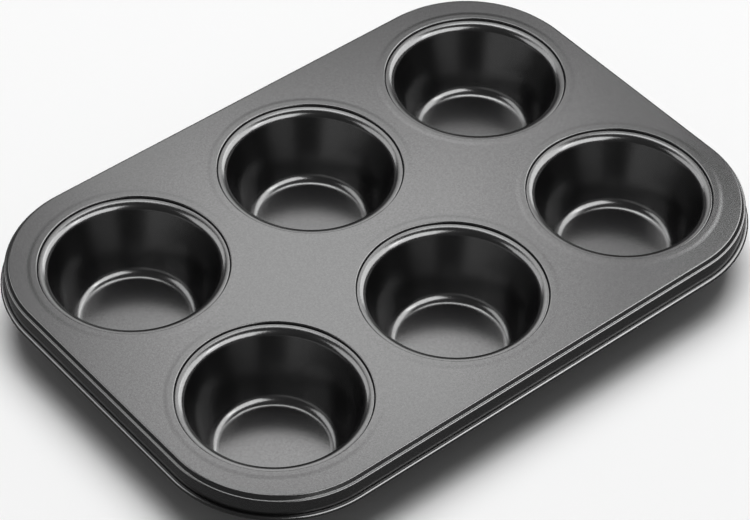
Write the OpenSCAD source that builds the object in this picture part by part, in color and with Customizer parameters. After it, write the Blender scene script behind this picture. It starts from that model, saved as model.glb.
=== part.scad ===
// Baking tray with six drawn cups, hooked into a pressed plate with a wired rim.
// The origin is on the surface that the cups stand on, under the middle of the tray.

/* [Sheet] */
// Thickness of the plate's steel sheet
plate_t = 0.5; // [0.35:0.05:0.55]
// Thickness of the cups' steel sheet
cup_t = 0.5; // [0.35:0.05:0.55]
// Gap between the layers of sheet and wire where they are rolled together
seam_gap = 0.1; // [0.05:0.05:0.3]

/* [Cups] */
// Distance between the centres of neighbouring cups
cup_pitch = 109; // [106:0.5:125]
// Diameter of the seam between a cup and the plate
seam_d = 93; // [80:0.5:95]
// Depth of a cup, from the top of the plate to the cup's floor
cup_depth = 38; // [24:0.1:70]
// Lean of a cup's wall, in degrees from upright
cup_taper = 17.5; // [5:0.5:22]
// Radius between a cup's wall and its floor, on the inside
floor_fillet = 5.5; // [2:0.5:9]
// Radius of the bend from a cup's lip into its wall, on the inside
lip_bend = 4.4; // [1.5:0.1:6]
// Width of a cup's lip, from the seam to where the lip bends into the wall
lip_w = 1.1; // [0.8:0.1:4]
// Distance of a cup's lip below the top of the plate
lip_drop = 1; // [0.4:0.1:1.6]
// Radius of the lip's outer edge, where it turns down into the seam
lip_edge = 0.6; // [0.6:0.1:1]

/* [Seam] */
// Depth of the seam under the top of the plate, down to the centre of its hooks
seam_depth = 4.2; // [3.6:0.1:6]
// Radius of the bend from the plate into the collar round a cup, on the top
collar_bend = 0.6; // [0.6:0.1:2]
// Space left inside the fold of the plate's hook
fold_gap = 0.3; // [0.2:0.05:0.6]
// Height of the plate's hook, above the centre of its fold
plate_hook = 1.2; // [0.6:0.1:1.6]
// Height of the cup's hook, above the centre of its fold
cup_hook = 1.6; // [0.6:0.1:1.8]
// Height of the ring that is raised in the plate round each cup
ring_rise = 0.1; // [0.05:0.05:0.5]
// Width of the raised ring, from the seam to its slope
ring_w = 3; // [2:0.1:3.4]
// Width of the slope round the raised ring
ring_slope = 2; // [0.8:0.1:2.4]

/* [Plate] */
// Width of the flat deck beyond the seams, at the two short ends
end_land = 11.4; // [10:0.1:40]
// Width of the flat deck beyond the seams, along the two long sides
side_land = 14.4; // [10:0.1:40]
// Radius of the deck's four corners
corner_r = 57; // [40:0.1:65]
// Radius of the crease at the edge of the deck, on the top
crease_r = 0.6; // [0.6:0.1:2.5]
// Slope of the step outside the crease, in degrees from flat
slope_angle = 58; // [35:1:80]
// Length of the step's sloping face
slope_l = 1.9; // [0.5:0.1:4]
// Radius of the hollow at the foot of the step, on the top
hollow_r = 0.3; // [0.2:0.1:1]
// Width of the flat ledge between the hollow and the shoulder
ledge_w = 0.2; // [0.1:0.1:2]
// Radius of the shoulder between the ledge and the skirt, on the top
shoulder_r = 0.7; // [0.6:0.1:2.5]
// Lean of the skirt, in degrees from upright
skirt_lean = 0.5; // [0:0.5:12]
// Height of the skirt, from the top of the deck to the centre of the bead
skirt_h = 12.1; // [8:0.1:20]

/* [Rim wire] */
// Diameter of the wire inside the bead
wire_d = 1.4; // [0.8:0.1:3]

/* [Hidden] */
CUPS = [
    ["cup_front_left", -1, -1], ["cup_front_middle", 0, -1], ["cup_front_right", 1, -1],
    ["cup_back_left", -1, 1], ["cup_back_middle", 0, 1], ["cup_back_right", 1, 1]
];

coating = [0.16, 0.16, 0.17];
bare_steel = [0.62, 0.62, 0.6];
bend_steps = 8;
// How far a swept section reaches into the flat deck
lap = 1;
$fn = 96;

// Places that several pieces share
deck_top = cup_depth + cup_t;
seam_r = seam_d / 2;
half_gap = seam_gap / 2;
hook_r = seam_r + half_gap + plate_t + fold_gap / 2;
hook_z = deck_top - seam_depth;
ring_r = seam_r + ring_w + ring_slope;
corner_x = cup_pitch + seam_r + end_land - corner_r;
corner_y = cup_pitch / 2 + seam_r + side_land - corner_r;

// Edge of the plate, measured outward from the deck's edge and up from the base
wire_r = wire_d / 2;
curl_r = wire_r + seam_gap;
slope_normal = 90 - slope_angle;
crease_c = [0, deck_top - crease_r];
hollow_c = crease_c + (crease_r + hollow_r) * along(slope_normal) + slope_l * along(-slope_angle);
shoulder_c = hollow_c + [ledge_w, -hollow_r - shoulder_r];
skirt_top = shoulder_c + shoulder_r * along(skirt_lean);
curl_z = deck_top - skirt_h;
skirt_l = (skirt_top[1] + curl_r * sin(skirt_lean) - curl_z) / cos(skirt_lean);
curl_c = skirt_top + skirt_l * along(skirt_lean - 90) + curl_r * along(skirt_lean);
curl_end = acos(-(curl_r - seam_gap) / (curl_r + plate_t));

// Unit vector at an angle
function along(a) = [cos(a), sin(a)];

// A bend of sheet is [centre, radius of the upper face, first angle, last angle, side].
// The sheet lies outside the upper face's arc where side is 1, and inside it where side is -1.
function bend_points(b, t) =
    let (r = b[1] + b[4] * t, n = b[2] == b[3] ? 0 : bend_steps)
    [for (i = [0 : n]) b[0] + r * along(b[2] + (b[3] - b[2]) * i / max(n, 1))];

function reversed(list) = [for (i = [len(list) - 1 : -1 : 0]) list[i]];

// Section of a sheet of thickness t that runs straight between its bends
function sheet_section(bends, t) = concat(
    [for (b = bends) each bend_points(b, 0)],
    reversed([for (b = bends) each bend_points(b, t)])
);

// Plate round a cup, from the deck inward: raised ring, collar and hook
function collar_bends() =
    let (
        ring_z = deck_top + ring_rise,
        outer = plate_t + fold_gap / 2
    )
    [
        [[ring_r + lap, deck_top], 0, -90, -90, 1],
        [[ring_r, deck_top], 0, -90, -90, 1],
        [[seam_r + ring_w, ring_z], 0, -90, -90, 1],
        [[seam_r + half_gap + collar_bend, ring_z - collar_bend], collar_bend, 90, 180, -1],
        [[hook_r, hook_z], outer, 180, 360, -1],
        [[hook_r, hook_z + plate_hook], outer, 360, 360, -1]
    ];

// Cup from the middle of its floor to the end of its hook
function cup_bends() =
    let (
        lip_z = deck_top - lip_drop,
        lip_c = [seam_r - lip_w, lip_z - lip_bend],
        wall_top = lip_c + lip_bend * along(180 - cup_taper),
        fillet_z = cup_t + floor_fillet,
        wall_foot_z = fillet_z - floor_fillet * sin(cup_taper),
        wall_foot_r = wall_top[0] - (wall_top[1] - wall_foot_z) * tan(cup_taper),
        fillet_c = [wall_foot_r - floor_fillet * cos(cup_taper), fillet_z],
        inner = plate_t + fold_gap / 2 + seam_gap
    )
    [
        [[0, cup_t], 0, -90, -90, 1],
        [fillet_c, floor_fillet, -90, -cup_taper, 1],
        [lip_c, lip_bend, 180 - cup_taper, 90, -1],
        [[seam_r - half_gap - lip_edge, lip_z - lip_edge], lip_edge, 90, 0, -1],
        [[hook_r, hook_z], inner, 180, 360, 1],
        [[hook_r, hook_z + cup_hook], inner, 360, 360, 1]
    ];

// Edge of the plate: crease, step, hollow, ledge, shoulder, skirt and curl round the wire
function edge_bends() = [
    [[-lap, deck_top], 0, -90, -90, 1],
    [crease_c, crease_r, 90, slope_normal, -1],
    [hollow_c, hollow_r, 180 + slope_normal, 270, 1],
    [shoulder_c, shoulder_r, 90, skirt_lean, -1],
    [curl_c, curl_r, 180 + skirt_lean, 360 + curl_end, 1]
];

// Sweeps a section round the deck's edge: its corners are turned and its sides are straight
module sweep_edge() {
    for (x = [-1, 1], y = [-1, 1])
        translate([x * corner_x, y * corner_y, 0])
            rotate([0, 0, x > 0 ? (y > 0 ? 0 : 270) : (y > 0 ? 90 : 180)])
                rotate_extrude(angle = 90)
                    translate([corner_r, 0]) children();
    for (side = [0, 180]) {
        rotate([0, 0, side])
            translate([corner_x + corner_r, corner_y, 0])
                rotate([90, 0, 0])
                    linear_extrude(height = 2 * corner_y) children();
        rotate([0, 0, side])
            translate([-corner_x, corner_y + corner_r, 0])
                rotate([90, 0, 90])
                    linear_extrude(height = 2 * corner_x) children();
    }
}

// Outline of the deck: four round corners and the two bars that join them
module deck_outline() {
    square([2 * corner_x, 2 * (corner_y + corner_r)], center = true);
    square([2 * (corner_x + corner_r), 2 * corner_y], center = true);
    for (x = [-1, 1], y = [-1, 1])
        translate([x * corner_x, y * corner_y]) circle(r = corner_r);
}

module at_cup(column, row) {
    translate([column * cup_pitch, row * cup_pitch / 2, 0]) children();
}

module tray_plate() {
    color(coating) {
        difference() {
            union() {
                translate([0, 0, deck_top - plate_t])
                    linear_extrude(height = plate_t) deck_outline();
                sweep_edge() polygon(sheet_section(edge_bends(), plate_t));
            }
            for (cup = CUPS)
                at_cup(cup[1], cup[2])
                    translate([0, 0, deck_top - 2 * plate_t])
                        cylinder(r = ring_r, h = 3 * plate_t);
        }
        for (cup = CUPS)
            at_cup(cup[1], cup[2])
                rotate_extrude() polygon(sheet_section(collar_bends(), plate_t));
    }
}

module rim_wire() {
    color(bare_steel)
        sweep_edge() translate(curl_c) circle(r = wire_r);
}

module drawn_cup() {
    color(coating)
        rotate_extrude() polygon(sheet_section(cup_bends(), cup_t));
}

tray_plate();
rim_wire();
for (cup = CUPS)
    at_cup(cup[1], cup[2]) drawn_cup();
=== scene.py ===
import math

import bmesh
import bpy
from mathutils import Matrix, Quaternion, Vector


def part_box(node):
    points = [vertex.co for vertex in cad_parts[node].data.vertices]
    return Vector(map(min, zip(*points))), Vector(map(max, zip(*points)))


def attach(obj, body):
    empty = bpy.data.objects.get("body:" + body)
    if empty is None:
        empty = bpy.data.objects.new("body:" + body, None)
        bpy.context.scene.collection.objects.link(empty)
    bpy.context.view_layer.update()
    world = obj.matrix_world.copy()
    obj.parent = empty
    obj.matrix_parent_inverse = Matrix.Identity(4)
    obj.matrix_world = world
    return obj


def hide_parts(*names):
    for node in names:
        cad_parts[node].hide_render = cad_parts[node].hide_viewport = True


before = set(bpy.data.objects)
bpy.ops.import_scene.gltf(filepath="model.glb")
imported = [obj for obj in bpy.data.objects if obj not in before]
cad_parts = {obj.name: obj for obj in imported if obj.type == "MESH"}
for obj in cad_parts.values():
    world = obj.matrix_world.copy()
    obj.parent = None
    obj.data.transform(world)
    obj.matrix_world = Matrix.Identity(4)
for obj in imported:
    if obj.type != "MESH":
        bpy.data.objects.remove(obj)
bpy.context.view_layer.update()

# The tray's lengths are in millimetres, and each mesh is scaled to metres as it is made.
# The camera, the lights and the floor are in metres.
MM = 0.001

# Places that are read from the CAD
tray_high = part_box("tray_plate")[1] / MM
wire_low, wire_high = (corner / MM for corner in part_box("rim_wire"))
CUP_NODES = sorted(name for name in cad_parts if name.startswith("cup_"))
cup_boxes = {name: [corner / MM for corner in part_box(name)] for name in CUP_NODES}
cup_centres = {name: (low + high).xy / 2 for name, (low, high) in cup_boxes.items()}
first_low, first_high = cup_boxes[CUP_NODES[0]]
cup_reach = (first_high.x - first_low.x) / 2

# Sheet and seam
SHEET = 0.5
SEAM_GAP = 0.1
FOLD_GAP = 0.3
SEAM_DEPTH = 4.2
PLATE_HOOK = 1.2
CUP_HOOK = 1.6
COLLAR_BEND = 0.6
RING_RISE = 0.1
RING_W = 3.0
RING_SLOPE = 2.0

# Cup
CUP_TAPER = 17.5
FLOOR_FILLET = 5.5
LIP_BEND = 4.4
LIP_W = 1.1
LIP_EDGE = 0.6

# Edge of the plate
CORNER_R = 57.0
CREASE_R = 0.6
SLOPE_ANGLE = 58
SLOPE_L = 1.9
HOLLOW_R = 0.3
LEDGE_W = 0.2
SHOULDER_R = 0.7
SKIRT_LEAN = 0.5

# What follows from the sizes and the places. A hook's fold is a half turn about (HOOK_R, HOOK_Z).
HOOK_REACH = SEAM_GAP / 2 + SHEET + FOLD_GAP / 2
FOLD_OUTER = SHEET + FOLD_GAP / 2
SEAM_R = cup_reach - HOOK_REACH - FOLD_OUTER - SEAM_GAP - SHEET
DECK_TOP = tray_high.z - RING_RISE
LIP_TOP = first_high.z
HOOK_R = SEAM_R + HOOK_REACH
HOOK_Z = DECK_TOP - SEAM_DEPTH
RING_R = SEAM_R + RING_W + RING_SLOPE
WIRE_R = (wire_high.z - wire_low.z) / 2
CURL_R = WIRE_R + SEAM_GAP
CURL_Z = (wire_high.z + wire_low.z) / 2

# Fineness of the meshes: degrees between the points of a bend, and between the sections of a turn
BEND_STEP = 9
TURN_STEP = 2.5
EVEN_TURNS = [TURN_STEP * i for i in range(round(360 / TURN_STEP))]
# A stretch longer than LONG gets a point at the distance HOLD from each end, to keep its shading flat
HOLD = 0.3
LONG = 4 * HOLD
# Points nearer than WELD become one, and an edge sharper than SHARP_ANGLE is shaded as an edge
WELD = 0.002
SHARP_ANGLE = 40

# Tolerances: of lengths, of places on the outline, of rows and columns of cups, and of angles
NEAR = 1e-6
ON_LINE = 1e-3
IN_ROW = 1
SAME_ANGLE = 0.01
# Least cosine between directions that count as one
ALIKE = 0.9
# Halvings in the search for the outline, and digits of the angle that names a place on it
HALVINGS = 50
ANGLE_DIGITS = 5

# Camera, solved from the six round seams
SENSOR_W = 36
LENS = 141.98
CLIP_END = 50
CAMERA_PLACE = Vector((-0.67939, -0.77689, 1.01313 + DECK_TOP * MM))
CAMERA_TARGET = Vector((-0.0165, -0.0158, DECK_TOP * MM))
CAMERA_ROLL = 1.9

# Lights: name, azimuth and elevation in degrees, (width, height), radiance, distance
KEY_LIGHT = ("key", 45, 76, (3.0, 3.0), 6.2, 4)
# Three softboxes at the back lie one behind the other, so that the deck's sheen fades to its edges
SOFTBOXES = (
    ("right_softbox", -80, 39, (2.0, 1.4), 5.2, 2),
    ("front_softbox", -13, 39, (2.4, 1.3), 4.7, 2),
    ("left_softbox", 126, 36, (2.2, 1.2), 2.8, 2),
    ("back_softbox", 53, 52, (0.5, 0.44), 1.04, 0.6),
    ("back_softbox_middle", 53, 52, (0.36, 0.31), 0.86, 0.63),
    ("back_softbox_core", 53, 52, (0.22, 0.21), 0.8, 0.66),
    ("top_softbox", 50, 72, (1.0, 0.6), 4.2, 2),
)
WORLD_LEVEL = 0.13
FLOOR_HALF = 6


def along(angle):
    """Unit vector at an angle in degrees."""
    return Vector((math.cos(math.radians(angle)), math.sin(math.radians(angle))))


# A bend of sheet is (centre, radius of the upper face, first angle, last angle, side).
# The sheet lies outside the upper face's arc where side is 1, and inside it where side is -1.


def edge_bends():
    """Crease, step, hollow, ledge, shoulder, skirt and curl, measured outward from the deck's edge."""
    normal = 90 - SLOPE_ANGLE
    crease = Vector((0, DECK_TOP - CREASE_R))
    hollow = crease + (CREASE_R + HOLLOW_R) * along(normal) + SLOPE_L * along(-SLOPE_ANGLE)
    shoulder = hollow + Vector((LEDGE_W, -HOLLOW_R - SHOULDER_R))
    skirt_top = shoulder + SHOULDER_R * along(SKIRT_LEAN)
    lean = math.radians(SKIRT_LEAN)
    skirt_l = (skirt_top.y + CURL_R * math.sin(lean) - CURL_Z) / math.cos(lean)
    curl = skirt_top + skirt_l * along(SKIRT_LEAN - 90) + CURL_R * along(SKIRT_LEAN)
    curl_end = math.degrees(math.acos(-(CURL_R - SEAM_GAP) / (CURL_R + SHEET)))
    return [
        (crease, CREASE_R, 90, normal, -1),
        (hollow, HOLLOW_R, 180 + normal, 270, 1),
        (shoulder, SHOULDER_R, 90, SKIRT_LEAN, -1),
        (curl, CURL_R, 180 + SKIRT_LEAN, 360 + curl_end, 1),
    ]


def collar_bends():
    """Plate round a cup, from the end of its hook to the deck. The raised ring's slope is rounded."""
    top = DECK_TOP + RING_RISE
    collar_r = SEAM_R + SEAM_GAP / 2 + COLLAR_BEND
    slope = math.degrees(math.atan2(RING_RISE, RING_SLOPE))
    soft = RING_SLOPE / 2 / math.sin(math.radians(2 * slope))
    return [
        (Vector((HOOK_R, HOOK_Z + PLATE_HOOK)), FOLD_OUTER, 360, 360, -1),
        (Vector((HOOK_R, HOOK_Z)), FOLD_OUTER, 360, 180, -1),
        (Vector((collar_r, top - COLLAR_BEND)), COLLAR_BEND, 180, 90, -1),
        (Vector((RING_R - RING_SLOPE, top - soft)), soft, 90, 90 - 2 * slope, -1),
        (Vector((RING_R, DECK_TOP + soft)), soft, 270 - 2 * slope, 270, 1),
    ]


def cup_bends():
    """Cup from the middle of its floor to the end of its hook."""
    lip = Vector((SEAM_R - LIP_W, LIP_TOP - LIP_BEND))
    wall_top = lip + LIP_BEND * along(180 - CUP_TAPER)
    taper = math.radians(CUP_TAPER)
    fillet_z = SHEET + FLOOR_FILLET
    wall_h = wall_top.y - fillet_z + FLOOR_FILLET * math.sin(taper)
    foot_r = wall_top.x - wall_h * math.tan(taper)
    fillet_r = foot_r - FLOOR_FILLET * math.cos(taper)
    edge_r = SEAM_R - SEAM_GAP / 2 - LIP_EDGE
    fold_inner = FOLD_OUTER + SEAM_GAP
    return [
        (Vector((0, SHEET)), 0, -90, -90, 1),
        (Vector((fillet_r, fillet_z)), FLOOR_FILLET, -90, -CUP_TAPER, 1),
        (lip, LIP_BEND, 180 - CUP_TAPER, 90, -1),
        (Vector((edge_r, LIP_TOP - LIP_EDGE)), LIP_EDGE, 90, 0, -1),
        (Vector((HOOK_R, HOOK_Z)), fold_inner, 180, 360, 1),
        (Vector((HOOK_R, HOOK_Z + CUP_HOOK)), fold_inner, 360, 360, 1),
    ]


def skin(bends, thickness):
    """The face of a bent sheet at a depth under its upper face, as points of the section."""
    points = []
    for centre, radius, first, last, side in bends:
        steps = math.ceil(abs(last - first) / BEND_STEP)
        reach = radius + side * thickness
        angles = [first + (last - first) * i / max(steps, 1) for i in range(steps + 1)]
        arc = [centre + reach * along(angle) for angle in angles]
        if points and (arc[0] - points[-1]).length > LONG:
            run = (arc[0] - points[-1]).normalized() * HOLD
            points += [points[-1] + run, arc[0] - run]
        points += arc
    return points


def sheet_section(bends):
    """Section of a bent sheet: along its upper face, and back along its lower face."""
    return skin(bends, 0) + skin(bends, SHEET)[::-1]


def add_ring(mesh, rays, reach, z):
    """Vertices at one height, each at the same distance along its ray (start, unit vector)."""
    return [
        mesh.verts.new((start.x + reach * way.x, start.y + reach * way.y, z)) for start, way in rays
    ]


def bridge(mesh, ring, other):
    """Band of faces between two closed rings."""
    for i in range(len(ring)):
        j = (i + 1) % len(ring)
        mesh.faces.new((ring[i], ring[j], other[j], other[i]))


def bridge_all(mesh, rings):
    for ring, other in zip(rings, rings[1:]):
        bridge(mesh, ring, other)


def link(name, data):
    """New object in the scene."""
    made = bpy.data.objects.new(name, data)
    bpy.context.scene.collection.objects.link(made)
    return made


def finished(mesh, name):
    """Welds a mesh, turns its faces outward, and makes it a smooth object in metres."""
    bmesh.ops.remove_doubles(mesh, verts=mesh.verts, dist=WELD)
    bmesh.ops.recalc_face_normals(mesh, faces=mesh.faces)
    bmesh.ops.scale(mesh, vec=(MM, MM, MM), verts=mesh.verts)
    data = bpy.data.meshes.new(name)
    mesh.to_mesh(data)
    mesh.free()
    data.shade_smooth()
    data.set_sharp_from_angle(angle=math.radians(SHARP_ANGLE))
    return link(name, data)


def make_cup(name, centre):
    """Drawn cup, turned about its own axis."""
    mesh = bmesh.new()
    section = sheet_section(cup_bends())
    rays = [(centre, along(turn)) for turn in EVEN_TURNS]
    rings = [add_ring(mesh, rays, r, z) for r, z in section[1:-1]]
    bridge_all(mesh, rings)
    for floor, ring in ((section[0], rings[0]), (section[-1], rings[-1])):
        middle = mesh.verts.new((centre.x, centre.y, floor.y))
        for i, corner in enumerate(ring):
            mesh.faces.new((middle, corner, ring[(i + 1) % len(ring)]))
    return finished(mesh, name)


class Outline:
    """Edge of the deck: a rectangle with round corners, about the middle of the tray."""

    def __init__(self, half_x, half_y, radius):
        self.corner = Vector((half_x - radius, half_y - radius))
        self.radius = radius

    def beyond(self, place):
        """How far a place is outside the outline, and the way out from there."""
        over = Vector((abs(place.x) - self.corner.x, abs(place.y) - self.corner.y))
        if over.x <= 0 and over.y <= 0:
            return max(over.x, over.y) - self.radius, Vector((0, 0))
        over = Vector((max(over.x, 0), max(over.y, 0)))
        out = over.normalized()
        way_out = Vector((math.copysign(out.x, place.x), math.copysign(out.y, place.y)))
        return over.length - self.radius, way_out

    def reach(self, start, way):
        """Distance from a place inside to the outline, along a unit vector."""
        near, far = 0, 4 * self.corner.length
        for _ in range(HALVINGS):
            middle = (near + far) / 2
            if self.beyond(start + middle * way)[0] < 0:
                near = middle
            else:
                far = middle
        return near


def cell_borders(here):
    """Lines halfway from a cup to its neighbours, as (unit vector towards it, distance)."""
    borders = []
    for other in cup_centres.values():
        gap = other - here
        if gap.length > IN_ROW and (abs(gap.x) < IN_ROW or abs(gap.y) < IN_ROW):
            borders.append((gap.normalized(), gap.length / 2))
    return borders


def cell_reach(here, borders, outline, way):
    """Distance from a cup, along a unit vector, to the edge of the cup's own cell of the deck."""
    reach = outline.reach(here, way)
    for toward, distance in borders:
        if way.dot(toward) > NEAR and distance / way.dot(toward) < reach - NEAR:
            reach = distance / way.dot(toward)
    return reach


def cell_turns(here, borders, outline):
    """Angles round a cup: even steps, and exactly the corners of its cell."""
    exact = []
    for toward, distance in borders:
        foot = here + distance * toward
        side = Vector((-toward.y, toward.x))
        for way in (side, -side):
            limits = [outline.reach(foot, way)]
            limits += [d for t, d in borders if t.dot(way) > ALIKE]
            corner = distance * toward + min(limits) * way
            exact.append(math.degrees(math.atan2(corner.y, corner.x)) % 360)

    def clear(angle):
        return all(abs((angle - other + 180) % 360 - 180) > TURN_STEP / 3 for other in exact)

    turns = sorted(exact + [angle for angle in EVEN_TURNS if clear(angle)])
    return [a for a, b in zip(turns, turns[1:] + [turns[0] + 360]) if b - a > SAME_ANGLE]


def add_cell(mesh, here, outline):
    """Collar of one cup and its cell of the deck. Returns the cell's corners on the plan."""
    borders = cell_borders(here)
    ways = [along(turn) for turn in cell_turns(here, borders, outline)]
    reaches = [cell_reach(here, borders, outline, way) for way in ways]
    starts = []
    for thickness in (0, SHEET):
        z = DECK_TOP - thickness
        section = skin(collar_bends(), thickness) + [Vector((RING_R + HOLD, z))]
        rings = [add_ring(mesh, [(here, way) for way in ways], r, height) for r, height in section]
        for inset in (HOLD, 0):
            rays = [(here + (reach - inset) * way, way) for way, reach in zip(ways, reaches)]
            rings.append(add_ring(mesh, rays, 0, z))
        bridge_all(mesh, rings)
        starts.append(rings[0])
    bridge(mesh, *starts)
    return [here + reach * way for way, reach in zip(ways, reaches)]


def make_plate():
    """Pressed plate: collars, deck, skirt and curled bead, as one closed sheet."""
    mesh = bmesh.new()
    edge = edge_bends()
    outer = max(point.x for point in skin(edge, SHEET))
    outline = Outline(tray_high.x - outer, tray_high.y - outer, CORNER_R)
    rim_rays = {}
    for name in CUP_NODES:
        for place in add_cell(mesh, cup_centres[name], outline):
            distance, way_out = outline.beyond(place)
            if abs(distance) < ON_LINE:
                rim_rays[round(math.atan2(place.y, place.x), ANGLE_DIGITS)] = (place, way_out)
    rays = [rim_rays[key] for key in sorted(rim_rays)]
    bridge_all(mesh, [add_ring(mesh, rays, r, z) for r, z in sheet_section(edge)])
    return finished(mesh, "plate")


def set_inputs(made, **inputs):
    for name, value in inputs.items():
        made.inputs[name.replace("_", " ")].default_value = value


def add_node(tree, kind, **inputs):
    made = tree.nodes.new(kind)
    set_inputs(made, **inputs)
    return made


def new_material(name, **inputs):
    """Plain material, and its shader with these inputs."""
    material = bpy.data.materials.new(name)
    material.use_nodes = True
    shader = material.node_tree.nodes["Principled BSDF"]
    set_inputs(shader, **inputs)
    return material, shader


def coating():
    """Dark satin non-stick coating: fine pebbled grain, with soft changes in gloss."""
    material, shader = new_material(
        "nonstick_coating", Base_Color=(0.004, 0.004, 0.0042, 1), Roughness=0.2, IOR=1.8
    )
    tree = material.node_tree
    place = add_node(tree, "ShaderNodeTexCoord")
    grain = add_node(tree, "ShaderNodeTexNoise", Scale=1100, Detail=2, Roughness=0.7)
    bump = add_node(tree, "ShaderNodeBump", Strength=0.4, Distance=0.00004)
    gloss = add_node(
        tree, "ShaderNodeMapRange", From_Min=0.3, From_Max=0.7, To_Min=0.57, To_Max=0.7
    )
    tree.links.new(place.outputs["Object"], grain.inputs["Vector"])
    tree.links.new(grain.outputs["Fac"], bump.inputs["Height"])
    tree.links.new(bump.outputs["Normal"], shader.inputs["Normal"])
    tree.links.new(grain.outputs["Fac"], gloss.inputs["Value"])
    tree.links.new(gloss.outputs["Result"], shader.inputs["Specular IOR Level"])
    return material


def bare_steel():
    """Drawn wire."""
    return new_material(
        "rim_wire_steel", Base_Color=(0.62, 0.62, 0.6, 1), Metallic=1, Roughness=0.35
    )[0]


def make_floor():
    """Plain pale floor. The gloss doesn't mirror it, so the skirt stays dark."""
    data = bpy.data.meshes.new("floor")
    corners = [(x * FLOOR_HALF, y * FLOOR_HALF, 0) for x, y in ((-1, -1), (1, -1), (1, 1), (-1, 1))]
    data.from_pydata(corners, [], [(0, 1, 2, 3)])
    data.materials.append(
        new_material("floor", Base_Color=(0.9, 0.9, 0.9, 1), Roughness=0.9, Specular_IOR_Level=0.1)[0]
    )
    floor = link("floor", data)
    floor.visible_glossy = False


def make_camera():
    """Camera at the photograph's viewing angle, with its long lens and slight roll."""
    camera = link("camera", bpy.data.cameras.new("camera"))
    camera.data.sensor_width = SENSOR_W
    camera.data.lens = LENS
    camera.data.clip_end = CLIP_END
    forward = (CAMERA_TARGET - CAMERA_PLACE).normalized()
    level = forward.cross(Vector((0, 0, 1))).normalized()
    right = Quaternion(forward, -math.radians(CAMERA_ROLL)) @ level
    up = right.cross(forward)
    turn = Matrix((right, up, -forward)).transposed().to_4x4()
    camera.matrix_world = Matrix.Translation(CAMERA_PLACE) @ turn
    bpy.context.scene.camera = camera


def make_light(name, azimuth, elevation, size, radiance, distance):
    """Rectangular lamp that faces the tray from a direction."""
    light = bpy.data.lights.new(name, "AREA")
    light.shape = "RECTANGLE"
    light.size, light.size_y = size
    light.energy = radiance * math.pi * size[0] * size[1]
    lamp = link(name, light)
    e, a = math.radians(elevation), math.radians(azimuth)
    back = Vector((math.cos(a) * math.cos(e), math.sin(a) * math.cos(e), math.sin(e)))
    lamp.location = distance * back
    lamp.rotation_mode = "QUATERNION"
    lamp.rotation_quaternion = (-back).to_track_quat("-Z", "Y")
    return lamp


def make_light_rig():
    """One plain key light for the level and the shadow, and softboxes that only the gloss shows."""
    make_light(*KEY_LIGHT).visible_glossy = False
    for softbox in SOFTBOXES:
        make_light(*softbox).visible_diffuse = False
    world = bpy.data.worlds.new("world")
    bpy.context.scene.world = world
    world.use_nodes = True
    set_inputs(world.node_tree.nodes["Background"], Color=(1, 1, 1, 1), Strength=WORLD_LEVEL)


make_camera()
satin = coating()
plate = make_plate()
plate.data.materials.append(satin)
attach(plate, "root")
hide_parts("tray_plate")
for name in CUP_NODES:
    cup = make_cup(name.replace("cup_", "cup_shell_"), cup_centres[name])
    cup.data.materials.append(satin)
    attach(cup, "root")
    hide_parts(name)
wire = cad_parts["rim_wire"]
wire.data.materials.clear()
wire.data.materials.append(bare_steel())
make_floor()
make_light_rig()
bpy.context.scene.view_settings.view_transform = "Standard"
